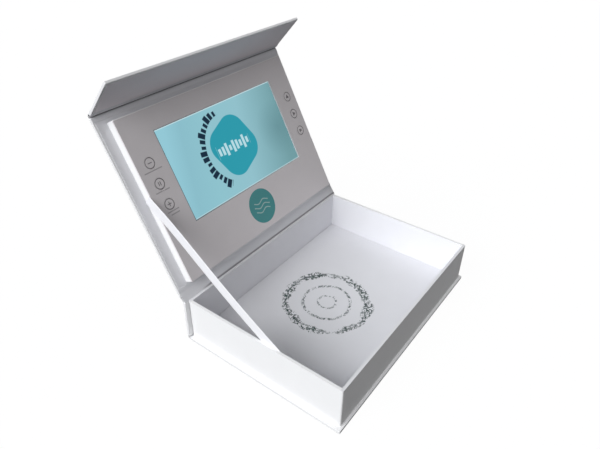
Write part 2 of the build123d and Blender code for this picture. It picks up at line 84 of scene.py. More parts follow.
def leanAxes(lean):
    # The way up along a board that leans back by an angle, and the way out of its inner face
    c, s = cos(radians(lean)), sin(radians(lean))
    return np.array([0.0, s, c]), np.array([0.0, -c, s])


flapLean = box["lidLean"] - box["flapBend"]
lidUp, lidIn = leanAxes(box["lidLean"])
flapUp, flapIn = leanAxes(flapLean)
lidHinge = np.array([0.0, box["hingeY"], box["hingeZ"]])
flapHinge = lidHinge + lidUp * box["flapLine"]
lidPlane = (box["lidLean"], *lidHinge[1:])
flapPlane = (flapLean, *flapHinge[1:])


def lidPoint(along, height):
    # Y and Z of a point so far up the lid from its hinge, and so high over its middle plane
    return (lidHinge + lidUp * along + lidIn * height)[1:]


def flapPoint(along, height):
    return (flapHinge + flapUp * along + flapIn * height)[1:]


def paint(red, green, blue, alpha=1.0):
    # A colour written as screen values 0 to 255, turned linear: ((c + 0.055) / 1.055) ** 2.4
    shares = np.array([red, green, blue]) / 255
    low = shares / 12.92
    high = ((shares + 0.055) / 1.055) ** 2.4
    return (*np.where(shares <= 0.04045, low, high).tolist(), alpha)


class Wire:
    # One output of a node; sums, products and comparisons of wires and numbers add Math nodes

    def __init__(self, nodes, socket):
        self.nodes, self.socket = nodes, socket

    def math(self, operation, *values, clamp=False):
        settings = {"operation": operation, "use_clamp": clamp}
        return self.nodes.node("ShaderNodeMath", settings, dict(enumerate(values)))

    def __add__(self, other):
        return self.math("ADD", self, other)

    def __radd__(self, other):
        return self.math("ADD", other, self)

    def __sub__(self, other):
        return self.math("SUBTRACT", self, other)

    def __rsub__(self, other):
        return self.math("SUBTRACT", other, self)

    def __mul__(self, other):
        return self.math("MULTIPLY", self, other)

    def __rmul__(self, other):
        return self.math("MULTIPLY", other, self)

    def __truediv__(self, other):
        return self.math("DIVIDE", self, other)

    def __rtruediv__(self, other):
        return self.math("DIVIDE", other, self)

    def __or__(self, other):  # the larger of two
        return self.math("MAXIMUM", self, other)

    def __ror__(self, other):
        return self.math("MAXIMUM", other, self)

    def __and__(self, other):  # the smaller of two
        return self.math("MINIMUM", self, other)

    def __rand__(self, other):
        return self.math("MINIMUM", other, self)

    def __neg__(self):
        return self.math("MULTIPLY", self, -1.0)

    def __abs__(self):
        return self.math("ABSOLUTE", self)

    def root(self):
        return self.math("SQRT", self)

    def sine(self):
        return self.math("SINE", self)

    def nearest(self):  # the nearest whole number
        return self.math("ROUND", self)

    def clip(self):  # held between 0 and 1
        return self.math("ADD", self, 0.0, clamp=True)


class Nodes:
    # A node tree, filled by expressions on wires and by one method for any node

    def __init__(self, tree):
        self.tree = tree

    def node(self, kind, settings=None, inputs=None, out=0):
        made = self.tree.nodes.new(kind)
        for key, value in (settings or {}).items():
            if key == "stops":
                while len(made.color_ramp.elements) < len(value):
                    made.color_ramp.elements.new(0.5)
                for element, (place, colour) in zip(made.color_ramp.elements, value):
                    element.position, element.color = place, colour
            else:
                setattr(made, key, value)
        for key, value in (inputs or {}).items():
            self.feed(value, made.inputs[key])
        return Wire(self, made.outputs[out])

    def feed(self, value, socket):
        if isinstance(value, Wire):
            self.tree.links.new(value.socket, socket)
        else:
            socket.default_value = value

    def place(self):
        return self.node("ShaderNodeTexCoord", out="Object")

    def parts(self, vector):
        split = self.node("ShaderNodeSeparateXYZ", inputs={0: vector}).socket.node
        return [Wire(self, split.outputs[i]) for i in range(3)]

    def ownMap(self):
        # Across and along from the piece's own UV map
        return self.parts(self.node("ShaderNodeUVMap", {"uv_map": "UVMap"}))[:2]

    def noise(self, vector, scale, detail=2.0, rough=0.5):
        inputs = {"Vector": vector, "Scale": scale, "Detail": detail, "Roughness": rough}
        return self.node("ShaderNodeTexNoise", inputs=inputs)

    def mix(self, share, first, second):
        inputs = {0: share, 6: first, 7: second}
        return self.node("ShaderNodeMix", {"data_type": "RGBA"}, inputs, out=2)

    def bump(self, height, distance, strength=1.0, **normal):
        inputs = {"Strength": strength, "Distance": distance, "Height": height, **normal}
        return self.node("ShaderNodeBump", inputs=inputs)

    def seenRay(self):
        # 1 for what the eye sees straight, in gloss or through glass, 0 for light that bounces
        path = self.node("ShaderNodeLightPath").socket.node
        kinds = ("Is Camera Ray", "Is Glossy Ray", "Is Transmission Ray")
        camera, gloss, glass = (Wire(self, path.outputs[kind]) for kind in kinds)
        return camera | gloss | glass


class Finish(Nodes):
    # A material; fixed values go to the shader's sockets, and set() feeds what varies

    def __init__(self, name, fixed=None):
        self.material = bpy.data.materials.new(name)
        self.material.use_nodes = True
        super().__init__(self.material.node_tree)
        self.shader = self.tree.nodes["Principled BSDF"]
        for socket, value in (fixed or {}).items():
            self.shader.inputs[socket].default_value = value

    def set(self, **wires):
        # What changes over the surface, such as set(Base_Color=wire)
        for name, wire in wires.items():
            self.feed(wire, self.shader.inputs[name.replace("_", " ")])
        return self


# Shapes drawn on a surface: each gives a distance in mm, below zero inside
def discShape(x, y, middle, radius):
    dx, dy = x - middle[0], y - middle[1]
    return (dx * dx + dy * dy).root() - radius


def barShape(x, y, middle, width, height):
    return (abs(x - middle[0]) - width / 2) | (abs(y - middle[1]) - height / 2)


def ringShape(x, y, middle, radius, line):
    return abs(discShape(x, y, middle, radius)) - line / 2


def arrowShape(x, y, middle, size):
    # A triangle pointing right: the largest of its distances from three sides
    dx, dy = x - middle[0], y - middle[1]
    slope = (abs(dy) * cos(pi / 6) + dx * sin(pi / 6)) - size / 2
    return slope | (-dx - size / 2)


def inkOf(distance, blur=0.12):
    # 1 inside a shape, 0 outside, over a soft edge
    return (0.5 - distance / (2 * blur)).clip()


def slantAxes(finish, lean, y, z):
    # Millimetres across a leaning board: X, the way up along it, and the height above it
    px, py, pz = finish.parts(finish.place())
    dy, dz = (py - y) * toMm, (pz - z) * toMm
    c, s = cos(radians(lean)), sin(radians(lean))
    return px * toMm, dy * s + dz * c, dz * s - dy * c


# Paper and card
paperLook = {
    "outer": (249, 249, 250),
    "inner": (233, 233, 237),
    # The flap's liner is given a lighter paper than the other liners: painted light
    "flapInner": (252, 246, 250),
    "card": (230, 225, 227),
    "shade": 0.968,
    "fibreScale": 1500.0,
    "mottleScale": 55.0,
    "flowScale": 14.0,
    "cloud": (0.6, 0.5, 0.5, -0.3),
    "roughness": 0.52,
    "roughnessSpread": 0.14,
    "fibreHeight": 0.000035,
    "fibreStrength": 0.6,
    "waveHeight": 0.0004,
    "waveStrength": 0.5,
}


def paperBase(name, colour, look=paperLook):
    # Coated paper: cloudy colour, a fine fibre and a slow unevenness where it is glued down
    finish = Finish(name, {"IOR": 1.45, "Specular IOR Level": 0.02})
    where = finish.place()
    fibre = finish.noise(where, look["fibreScale"], 5.0, 0.65)
    mottle = finish.noise(where, look["mottleScale"], 3.0, 0.5)
    flow = finish.noise(where, look["flowScale"], 1.0, 0.4)
    ofMottle, ofFlow, ofFibre, base = look["cloud"]
    cloud = (mottle * ofMottle + flow * ofFlow + fibre * ofFibre + base).clip()
    dull = paint(*[channel * look["shade"] for channel in colour])
    tint = finish.mix(cloud, dull, paint(*colour))
    rough = look["roughness"] + (fibre * 0.5 + mottle * 0.5 - 0.5) * look["roughnessSpread"]
    grain = finish.bump(fibre, look["fibreHeight"], look["fibreStrength"])
    wave = finish.bump(flow, look["waveHeight"], look["waveStrength"], Normal=grain)
    finish.set(Roughness=rough, Normal=wave)
    return finish, tint, fibre, mottle


def plainPaper(name, colour):
    # Coated paper with nothing printed on it
    finish, tint, fibre, mottle = paperBase(name, colour)
    return finish.set(Base_Color=tint)


# The greyer band over the tray's front and back rims is painted shade
rimShadeLook = {"greyTone": (229, 229, 232), "height": 45.25, "end": 79.2, "strength": 0.8, "spread": 0.3}


def wrapPaper(name, look=rimShadeLook):
    # The tray's wrapping paper, with painted shade: a greyer band over the front and back rims,
    # made uneven by a mottle
    finish, tint, fibre, mottle = paperBase(name, paperLook["outer"])
    px, py, pz = finish.parts(finish.place())
    # painted shade: a greyer band over the tops of the front and back rims
    ends = ((abs(py) * toMm - look["end"]) * 4.0).clip()
    rim = ((pz * toMm - look["height"]) * 8.0).clip() * ends
    rimShade = rim * (look["strength"] + mottle * look["spread"])
    return finish.set(Base_Color=finish.mix(rimShade.clip(), tint, paint(*look["greyTone"])))


# The dark line along the hinge creases, its colour given under "ink", is painted shade, not print
creaseShadeLook = {
    "ink": (96, 90, 98),
    "half": 2.0,
    "sharpness": 1.4,
    "strength": 0.7,
    "lidFades": -98.0,
    "fadeLength": 12.0,
}


def creaseShadedPaper(name, fades=None, look=creaseShadeLook):
    # Thin paper with painted shade: a dark line where it is creased, which may end short of the
    # left end; its UV map counts metres from the crease
    finish, tint, fibre, mottle = paperBase(name, paperLook["inner"])
    across, along = finish.ownMap()
    # painted shade along the crease
    line = (1.0 - abs(along * toMm) / look["half"]).clip()
    line = (line * look["sharpness"]).clip() * (0.85 + fibre * 0.3) * look["strength"]
    if fades is not None:
        line = line * ((across * toMm - fades) / look["fadeLength"]).clip()
    return finish.set(Base_Color=finish.mix(line, tint, paint(*look["ink"])))


edgeLook = {"width": 0.6, "greyTone": (212, 211, 215), "strength": 0.4}


def boardPaper(name, lean, y, z, low, high, look=edgeLook):
    # Paper over a board; its outline is rubbed a little grey within a narrow, broken band
    finish, tint, fibre, mottle = paperBase(name, paperLook["outer"])
    across, along, height = slantAxes(finish, lean, y, z)
    fromSides = box["halfCase"] * toMm - abs(across)
    inside = fromSides & ((high - low) / 2 - abs(along - (low + high) / 2))
    rubbed = (1.0 - inside / look["width"]).clip()
    broken = (mottle * 1.6 + fibre * 0.8 - 0.75).clip()
    worn = rubbed * broken * look["strength"]
    return finish.set(Base_Color=finish.mix(worn, tint, paint(*look["greyTone"])))


# The printed face of the platform
facePrint = {
    "disc": (2.5, 33.7),
    "discRadius": 17.4,
    "discColour": (82, 158, 160),
    "discPale": (186, 214, 210),
    "waveReach": 0.62,
    "waveGap": 4.6,
    "waveHeight": 1.3,
    "wavePace": 0.42,
    "waveHalf": 0.55,
    "waveStrength": 0.85,
    "ink": (104, 100, 106),
    "captions": [
        ((-93.4, 112.4), 18.8),
        ((-97.6, 93.6), 7.0),
        ((-92.8, 93.4), 1.2),
        ((-88.8, 93.4), 5.4),
        ((-92.6, 74.4), 12.6),
        ((-91.8, 71.5), 9.6),
    ],
    "captionHeight": 0.95,
    "captionStrength": 0.5,
    "captionTop": 10.5,
    "top": 162.6,
    # The pale band along the card's top edge is a painted highlight
    "topHighlight": (253, 252, 252),
    "topHighlightWidth": 0.7,
    "window": ((1.3, 99.3), 154.1, 85.9),
    # The dark line round the window is a painted shadow of the card's cut edge
    "windowShadow": (84, 100, 108),
    "windowShadowWidth": 0.55,
}


def facePaper(look=facePrint):
    # Card with a round label of three waves, a painted highlight along the top edge, a painted
    # shadow line round the window that fades to the right, and rules for captions
    finish, tint, fibre, mottle = paperBase("platform_face_print", paperLook["card"])
    across, along, height = slantAxes(finish, *lidPlane)
    discInk = inkOf(discShape(across, along, look["disc"], look["discRadius"]))
    dx, dy = across - look["disc"][0], along - look["disc"][1]
    wave = dy - (dx * look["wavePace"]).sine() * look["waveHeight"]
    waves = inkOf(abs(wave) - look["waveHalf"])
    for shift in (-look["waveGap"], look["waveGap"]):
        waves = waves | inkOf(abs(wave + shift) - look["waveHalf"])
    waveRadius = look["discRadius"] * look["waveReach"]
    waves = waves * inkOf(discShape(across, along, look["disc"], waveRadius))
    colour = finish.mix(discInk * (0.94 + fibre * 0.06), tint, paint(*look["discColour"]))
    colour = finish.mix(waves * look["waveStrength"], colour, paint(*look["discPale"]))
    # painted highlight: a pale band along the card's top edge, where the edge catches the light
    topHighlightMask = inkOf(abs(look["top"] - along) - look["topHighlightWidth"], 0.2)
    colour = finish.mix(topHighlightMask * 0.9, colour, paint(*look["topHighlight"]))
    middle, width, depth = look["window"]
    # painted shadow: a dark line round the window's edge, strongest on the left and fading to the
    # right
    fading = (0.45 - (across - middle[0]) / width).clip()
    window = barShape(across, along, middle, width, depth)
    windowShadeMask = inkOf(window - look["windowShadowWidth"], 0.25) * (fading * 0.75 + 0.12)
    colour = finish.mix(windowShadeMask, colour, paint(*look["windowShadow"]))
    rules = None
    for middle, width in look["captions"]:
        rule = inkOf(barShape(across, along, middle, width, look["captionHeight"]), 0.2)
        rules = rule if rules is None else rules | rule
    front = inkOf(look["captionTop"] - height)
    colour = finish.mix(rules * front * look["captionStrength"], colour, paint(*look["ink"]))
    return finish.set(Base_Color=colour)


keyLook = {
    "columns": {"left": -93.44, "right": 96.04},
    "rows": [119.4, 100.2, 81.0],
    "ring": 4.55,
    "ringLine": 0.55,
    "ringStrength": 0.9,
    "ink": (62, 58, 64),
    "line": 0.7,
    "length": 4.2,
    "pause": (0.9, 3.6),
    "arrow": 2.6,
    "next": (-0.4, 2.2, 1.5, 2.8),
    "signStrength": 0.8,
}


def keySign(x, y, side, number, look=keyLook):
    # Small generic signs: less, pause and more on the left; up, play and next on the right
    middle, line, length = (0.0, 0.0), look["line"], look["length"]
    if side == "left":
        gap, high = look["pause"]
        less = barShape(x, y, middle, length, line)
        more = less & barShape(x, y, middle, line, length)
        return [less, barShape(abs(x), y, (gap, 0.0), line, high), more][number]
    arrowX, arrowSize, barX, high = look["next"]
    following = arrowShape(x, y, (arrowX, 0.0), arrowSize) & barShape(x, y, (barX, 0.0), line, high)
    up, play = (arrowShape(*axes, middle, look["arrow"]) for axes in ((y, x), (x, y)))
    return [up, play, following][number]


def keyPaper(side, number, look=keyLook):
    # Card with a thin ring near the key's edge and a sign in its middle
    finish, tint, fibre, mottle = paperBase(f"key_{side}_{number + 1}_print", paperLook["card"])
    across, along, height = slantAxes(finish, *lidPlane)
    x, y = across - look["columns"][side], along - look["rows"][number]
    ring = inkOf(ringShape(x, y, (0.0, 0.0), look["ring"], look["ringLine"]), 0.15)
    sign = inkOf(keySign(x, y, side, number), 0.15)
    ink = (ring * look["ringStrength"]) | (sign * look["signStrength"])
    return finish.set(Base_Color=finish.mix(ink, tint, paint(*look["ink"])))


# The printed sheet on the tray's floor: ripple rings of broken, splashed line
floorPrint = {
    "middle": (-4.2, 6.6),
    "radius": 41.0,
    "half": 4.1,
    "ripples": [(24.0, 3.4), (9.0, 2.6)],
    "rippleStrength": 0.65,
    "ink": (26, 38, 44),
    "inkSecond": (42, 76, 66),
    "hueScale": 60.0,
    "strength": 0.95,
    "wobble": 5.5,
    "swayScale": 42.0,
    "swashScale": 75.0,
    "swashWidth": (2.6, -0.3),
    "lineScale": 260.0,
    "lineWidth": 0.045,
    "dotScale": 520.0,
    "dotLevel": 0.57,
    "coreScale": 150.0,
    "coreLevel": 0.44,
    "coreNarrow": 3.2,
}


def floorPaper(look=floorPrint):
    # A wobbling ring, wider and narrower by a slow noise, inked where squiggles and dots of finer
    # noise cross it, over a broken core line; two fainter rings inside it
    finish, tint, fibre, mottle = paperBase("tray_floor_print", paperLook["inner"])
    where = finish.place()
    px, py, pz = finish.parts(where)
    x, y = px * toMm - look["middle"][0], py * toMm - look["middle"][1]
    sway = (finish.noise(where, look["swayScale"], 3.0, 0.6) - 0.5) * look["wobble"] * 2
    swash = finish.noise(where, look["swashScale"], 1.0)
    slope, base = look["swashWidth"]
    ring = abs(discShape(x, y, (0.0, 0.0), look["radius"]) + sway)
    ring = ring / (swash * slope + base) / look["half"]
    band = (1.25 - ring).clip()
    for radius, half in look["ripples"]:
        ripple = abs(discShape(x, y, (0.0, 0.0), radius) + sway * 0.5) / half
        band = band | ((0.9 - ripple).clip() * look["rippleStrength"])
    squiggle = finish.noise(where, look["lineScale"], 2.0, 0.55)
    line = (1.35 - abs(squiggle - 0.5) / look["lineWidth"]).clip()
    dots = ((finish.noise(where, look["dotScale"], 1.0, 0.5) - look["dotLevel"]) * 20.0).clip()
    dense = ((swash - 0.3) * 5.0).clip() * 0.5 + 0.5
    ink = (line | dots) * ((band - 0.2) * 3.5).clip() * dense
    gaps = ((finish.noise(where, look["coreScale"], 1.0) - look["coreLevel"]) * 12.0).clip()
    core = (1.0 - ring * look["coreNarrow"]).clip() * gaps
    hue = finish.noise(where, look["hueScale"])
    hue = finish.mix(hue, paint(*look["ink"]), paint(*look["inkSecond"]))
    return finish.set(Base_Color=finish.mix((ink | core) * look["strength"], tint, hue))


# The lit picture: a rounded tile, level bars and a broken ring over a pale blue-green fade
screenLook = {
    "middle": (1.3, 99.3),
    "half": (77.04, 42.96),
    "fade": [
        (0.0, (147, 201, 215)),
        (0.12, (138, 190, 203)),
        (0.3, (142, 195, 206)),
        (0.6, (145, 193, 204)),
        (1.0, (111, 156, 162)),
    ],
    "fadeSlant": 0.0016,
    "dusk": (86, 129, 137),
    "duskPlace": (66.0, -4.0),
    "duskReach": 30.0,
    "duskStrength": 0.5,
    # The pale lines along the picture's top and bottom edges are a painted highlight
    "rim": (206, 232, 236),
    "edgeHighlightWidth": 0.8,
    "edgeHighlightStrength": (0.8, 0.45),
    "tile": (36, 152, 170),
    "tileMiddle": (1.5, 0.4),
    "tileHalf": 26.0,
    "tileRound": 17.0,
    "tileTurn": 25.0,
    "pale": (184, 220, 228),
    "barPitch": 4.7,
    "barWidth": 3.1,
    "barSpan": 22.0,
    "barHeight": (4.5, 2.0),
    "barChange": (2.4, 0.7),
    "navy": (2, 36, 58),
    "ringRadius": (37.0, 0.9),
    "ringStep": 8.6,
    "ringHalf": (2.0, 0.5),
    "ringReach": (3.3, 0.8),
    "ringChange": (1.9, 0.4),
    "ringSpan": (12.0, 70.0, 0.6),
    "strength": 0.97,
}


def tileShape(x, y, look):
    # Distance to a turned square with round corners: past the inner square's edges, less the round
    turn = radians(look["tileTurn"])
    dx, dy = x - look["tileMiddle"][0], y - look["tileMiddle"][1]
    core = look["tileHalf"] - look["tileRound"]
    across = (abs(dx * cos(turn) + dy * sin(turn)) - core) | 0.0
    along = (abs(dy * cos(turn) - dx * sin(turn)) - core) | 0.0
    return (across * across + along * along).root() - look["tileRound"]


def changeOf(number, pace):
    # A value between -1 and 1 for each whole number, by its sine
    return (number * pace[0] + pace[1]).sine()


def levelBars(x, y, look):
    # Upright bars at an even pitch; each takes its height from its own number
    number = (x / look["barPitch"]).nearest()
    height, swing = look["barHeight"]
    height = changeOf(number, look["barChange"]) * swing + height
    bar = (abs(x - number * look["barPitch"]) - look["barWidth"] / 2) | (abs(y) - height)
    return bar | (abs(x) - look["barSpan"])


def brokenRing(x, y, look):
    # Bars round the left of the tile, cut by the angle about it; each takes its distance, width and
    # length from its own number
    reach = (x * x + y * y).root()
    turn = x.math("ARCTAN2", y, -x) * (180 / pi)
    number = (turn / look["ringStep"]).nearest()
    off = abs(turn - number * look["ringStep"]) * (pi / 180) * reach
    change = changeOf(number, look["ringChange"])
    radius, half, length = (
        change * swing + size
        for size, swing in (look["ringRadius"], look["ringHalf"], look["ringReach"])
    )
    middle, span, steep = look["ringSpan"]
    return (off - half) | (abs(reach - radius) - length) | (abs(turn - middle) - span) * steep


def screenPicture(look=screenLook):
    fixed = {
        "Base Color": paint(14, 18, 20),
        "Emission Strength": look["strength"],
        "IOR": 1.5,
        "Specular IOR Level": 0.1,
    }
    finish = Finish("screen_picture", fixed)
    across, along, height = slantAxes(finish, *lidPlane)
    x, y = across - look["middle"][0], along - look["middle"][1]
    share = (x / (2 * look["half"][0]) + 0.5 - y * look["fadeSlant"]).clip()
    stops = [(place, paint(*colour)) for place, colour in look["fade"]]
    picture = finish.node("ShaderNodeValToRGB", {"stops": stops}, {0: share})
    dusk = (1.0 - discShape(x, y, look["duskPlace"], 0.0) / look["duskReach"]).clip()
    picture = finish.mix(dusk * look["duskStrength"], picture, paint(*look["dusk"]))
    # painted highlight: pale lines along the top and bottom edges, where the window's cut edge
    # catches the light; their colour is given under "rim"
    edge = look["half"][1] - look["edgeHighlightWidth"]
    top, bottom = look["edgeHighlightStrength"]
    edgeHighlightMask = inkOf(edge - y, 0.25) * top | inkOf(edge + y, 0.25) * bottom
    picture = finish.mix(edgeHighlightMask, picture, paint(*look["rim"]))
    picture = finish.mix(inkOf(tileShape(x, y, look), 0.3), picture, paint(*look["tile"]))
    picture = finish.mix(inkOf(levelBars(x, y, look), 0.25), picture, paint(*look["pale"]))
    picture = finish.mix(inkOf(brokenRing(x, y, look), 0.25), picture, paint(*look["navy"]))
    rough = 0.24 + finish.noise(finish.place(), 2400.0, 1.0) * 0.05
    return finish.set(Emission_Color=picture, Roughness=rough)


# Plain finishes of the hidden pieces: colour, roughness, metal, noise scale, bump height, nodes
hiddenLook = {
    "foam": ((62, 62, 66), 0.9, 0.0, 900.0, 0.0004, ["foam_bed"]),
    "circuit": (
        (24, 92, 58), 0.45, 0.0, 220.0, 0.00006, ["main_board", "left_key_board", "right_key_board"]
    ),
    "chip": (
        (28, 28, 30), 0.5, 0.0, 600.0, 0.00004,
        ["board_chips", "lid_sensor", "left_switches", "right_switches"],
    ),
    "cable": ((196, 128, 44), 0.4, 0.0, 300.0, 0.00004, ["left_flex", "right_flex", "screen_flex"]),
    "pouch": ((176, 178, 182), 0.34, 0.85, 180.0, 0.0002, ["battery"]),
    "lead": ((150, 28, 26), 0.5, 0.0, 400.0, 0.00003, ["battery_leads", "speaker_leads"]),
    "speaker": ((34, 34, 36), 0.6, 0.0, 500.0, 0.0001, ["speaker"]),
    "magnet": (
        (188, 190, 194), 0.22, 1.0, 260.0, 0.00002,
        ["front_wall_magnets", "flap_magnets", "sensor_magnet"],
    ),
    "steel": ((168, 170, 174), 0.3, 1.0, 340.0, 0.00003, ["charge_socket"]),
    "bezel": ((150, 152, 156), 0.36, 1.0, 260.0, 0.00004, ["screen_bezel"]),
    "backlight": ((214, 218, 222), 0.5, 0.0, 120.0, 0.00004, ["screen_backlight"]),
}


def hiddenFinish(name, colour, roughness, metal, scale, height):
    # A base colour broken by noise, with a matching roughness and a small bump
    finish = Finish(name + "_finish", {"Metallic": metal})
    fine = finish.noise(finish.place(), scale, 4.0, 0.6)
    dull = paint(*[channel * 0.82 for channel in colour])
    finish.set(Base_Color=finish.mix(fine, dull, paint(*colour)))
    rough = roughness + (fine - 0.5) * 0.18
    return finish.set(Roughness=rough, Normal=finish.bump(fine, height, 0.5))


def dress(finish, *names):
    for name in names:
        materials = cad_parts[name].data.materials
        materials.clear()
        materials.append(finish.material)


# Boards and their paper: lean, Y and Z of a point on the board, and its two ends along it in mm
boards = {
    "bottom_board": ("bottom_paper", 90.0, -0.001125, 0.0014, -82.97, 82.97),
    "spine_board": ("spine_paper", 0.0, box["spineY"], 0.0, 3.8, 45.1),
    "lid_board": ("lid_paper", *lidPlane, 1.7, 170.5),
    "flap_board": ("flap_paper", *flapPlane, 1.7, 46.9),
}
outerPaper = plainPaper("outer_paper", paperLook["outer"])
dress(outerPaper, "base_fold", "platform_frame")
dress(wrapPaper("wrap_paper"), "tray_wrap")
dress(plainPaper("inner_paper", paperLook["inner"]), "tray_shell", "lid_liner")
# painted light: the flap's liner is a lighter copy of the inner paper
dress(plainPaper("flap_inner_lit_paper", paperLook["flapInner"]), "flap_liner")
for node, board in boards.items():
    dress(boardPaper(*board), node)
dress(facePaper(), "platform_face")
dress(floorPaper(), "tray_floor_liner")
dress(screenPicture(), "screen_glass")
for side in ("left", "right"):
    for number in range(3):
        dress(keyPaper(side, number), f"key_{side}_{number + 1}")
for name, (*look, nodes) in hiddenLook.items():
    dress(hiddenFinish(name, *look), *nodes)
print("finishes made")


# New pieces are thin closed slabs: two grids of points, one for each face
def slab(name, front, back, finish, uv=None):
    rows, columns = front.shape[:2]
    first = np.arange(rows * columns).reshape(rows, columns)
    second = first + rows * columns

    def quads(grid):
        corners = (grid[:-1, :-1], grid[:-1, 1:], grid[1:, 1:], grid[1:, :-1])
        return np.stack([corner.ravel() for corner in corners], 1)

    def strip(a, b):
        return np.stack([a[:-1], b[:-1], b[1:], a[1:]], 1)

    faces = np.concatenate([
        quads(first),
        quads(second)[:, ::-1],
        strip(first[0], second[0]),
        strip(second[-1], first[-1]),
        strip(second[:, 0], first[:, 0]),
        strip(first[:, -1], second[:, -1]),
    ])
    points = np.concatenate([front.reshape(-1, 3), back.reshape(-1, 3)])
    corner = points[faces]
    halves = np.cross(corner[:, 1] - corner[:, 0], corner[:, 2] - corner[:, 0])
    halves += np.cross(corner[:, 2] - corner[:, 0], corner[:, 3] - corner[:, 0])
    if (corner[:, 0] * halves).sum() < 0:  # a negative volume: the faces point inwards
        faces = faces[:, ::-1]
    mesh = bpy.data.meshes.new(name)
    mesh.from_pydata(points.tolist(), [], faces.tolist())
    mesh.update()
    if uv is not None:
        both = np.concatenate([uv.reshape(-1, 2), uv.reshape(-1, 2)])
        layer = mesh.uv_layers.new(name="UVMap")
        layer.data.foreach_set("uv", both[faces.ravel()].astype(np.float32).ravel())
    mesh.polygons.foreach_set("use_smooth", np.ones(len(faces), bool))
    mesh.materials.append(finish.material)
    return addToScene(name, mesh)


def smooth(value, low, high):
    # 0 below low, 1 above high, and a smooth step between
    t = np.clip((value - low) / (high - low), 0, 1)
    return t * t * (3 - 2 * t)


def wayAlong(line):
    # The length of a line of points up to each of them
    return np.concatenate([[0], np.cumsum(np.linalg.norm(np.diff(line, axis=0), axis=1))])


def curveThrough(corners, count, easing):
    # Points evenly spaced along straight runs whose corners are rounded by repeated averaging
    corners = np.array(corners, float)
    steps = wayAlong(corners)
    at = np.linspace(0, steps[-1], count)
    line = np.stack([np.interp(at, steps, corners[:, k]) for k in range(2)], 1)
    for turn in range(int(easing * count)):
        line[1:-1] = (line[:-2] + 2 * line[1:-1] + line[2:]) / 4
    return line


# Paper over the two hinges, outside and in; heights are over the middle of the boards, places
# along the lid and the flap count from their own hinges, and the rest are Y and Z
foldLook = {
    "outer": 0.0004,
    "outerLap": 0.007,
    "outerHeight": -0.00163,
    "outerInset": 0.0004,
    "inner": 0.00016,
    "innerLap": 0.0042,
    "innerHeight": 0.0015,
    "innerInset": 0.0005,
    "traySide": (0.08195, 0.0452),
    "lidCrease": (0.0824, 0.0454),
    "lidStart": 0.0056,
    "lidEnd": 0.1702,
    "flapCrease": (0.1718, 0.0004),
    "flapStart": 0.0020,
    "count": 64,
    "columns": 33,
    "thinEnd": 0.25,
    "thinShare": 0.06,
}


def foldedPaper(name, corners, finish, easing=0.35, crease=None, outside=True, look=foldLook):
    # A path in the YZ plane, carried along X; the faces stand half a thickness off it, and the one
    # away from the boards thins out at both ends. With a crease, the UV map holds X and the way
    # along the path from the point nearest it
    kind = "outer" if outside else "inner"
    thickness, count, columns = look[kind], look["count"], look["columns"]
    line = curveThrough(corners, count, easing)
    heading = np.gradient(line, axis=0)
    heading /= np.linalg.norm(heading, axis=1)[:, None]
    normal = np.stack([-heading[:, 1], heading[:, 0]], 1)
    share = np.linspace(0, 1, count)
    full = smooth(share, 0, look["thinShare"]) * smooth(1 - share, 0, look["thinShare"])
    full = look["thinEnd"] + (1 - look["thinEnd"]) * full
    outerX = box["halfCase"] - look[kind + "Inset"]
    innerX = outerX - thickness
    x = np.concatenate([[-outerX], np.linspace(-innerX, innerX, columns - 2), [outerX]])

    def face(side):
        glued = side == (1 if outside else -1)
        off = side * thickness / 2 * (np.ones(count) if glued else 2 * full - 1)
        curve = line + normal * off[:, None]
        y, z = (np.repeat(curve[:, k][:, None], columns, 1) for k in range(2))
        return np.stack([np.repeat(x[None, :], count, 0), y, z], 2)

    uv = None
    if crease is not None:
        way = wayAlong(line)
        way -= way[np.argmin(np.linalg.norm(line - crease, axis=1))]
        uv = np.stack(np.broadcast_arrays(x[None, :], way[:, None]), 2)
    return slab(name, face(1), face(-1), finish, uv)


outerHeight, innerHeight = foldLook["outerHeight"], foldLook["innerHeight"]
outerReach = box["foldGap"] + foldLook["outerLap"]
spineOuter = box["spineY"] + foldLook["outer"] / 2
lidOuter = foldedPaper(
    "lidHingePaper",
    [
        (spineOuter, box["spineTop"] - foldLook["outerLap"]),
        (spineOuter, box["spineTop"]),
        lidPoint(box["foldGap"], outerHeight),
        lidPoint(outerReach, outerHeight),
    ],
    outerPaper,
)
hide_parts("lid_fold")
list(lidPoint(0.0022, -0.0016))
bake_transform(lidOuter)

peak = box["flapLine"] - outerHeight * tan(radians(box["flapBend"] / 2))
flapOuter = foldedPaper(
    "flapHingePaper",
    [
        lidPoint(box["flapLine"] - outerReach, outerHeight),
        lidPoint(peak, outerHeight),
        flapPoint(outerReach, outerHeight),
    ],
    outerPaper,
)
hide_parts("flap_fold")
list(lidPoint(0.1712, -0.0016))
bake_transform(flapOuter)

lidCrease, lidStart = foldLook["lidCrease"], foldLook["lidStart"]
lidInner = foldedPaper(
    "lidHingeLiner",
    [
        foldLook["traySide"],
        lidCrease,
        lidPoint(lidStart, innerHeight),
        lidPoint(lidStart + foldLook["innerLap"], innerHeight),
    ],
    creaseShadedPaper("lid_hinge_crease_shade", creaseShadeLook["lidFades"]),
    easing=0.12,
    crease=lidCrease,
    outside=False,
)
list(lidPoint(lidStart, innerHeight))
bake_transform(lidInner)

flapCrease, lidEnd = lidPoint(*foldLook["flapCrease"]), foldLook["lidEnd"]
flapInner = foldedPaper(
    "flapHingeLiner",
    [
        lidPoint(lidEnd - foldLook["innerLap"], innerHeight),
        lidPoint(lidEnd, innerHeight),
        flapCrease,
        flapPoint(foldLook["flapStart"], innerHeight),
        flapPoint(foldLook["flapStart"] + foldLook["innerLap"], innerHeight),
    ],
    creaseShadedPaper("flap_hinge_crease_shade"),
    easing=0.1,
    crease=flapCrease,
    outside=False,
)
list(lidPoint(0.1707, 0.0014))
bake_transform(flapInner)
print("hinge papers made")

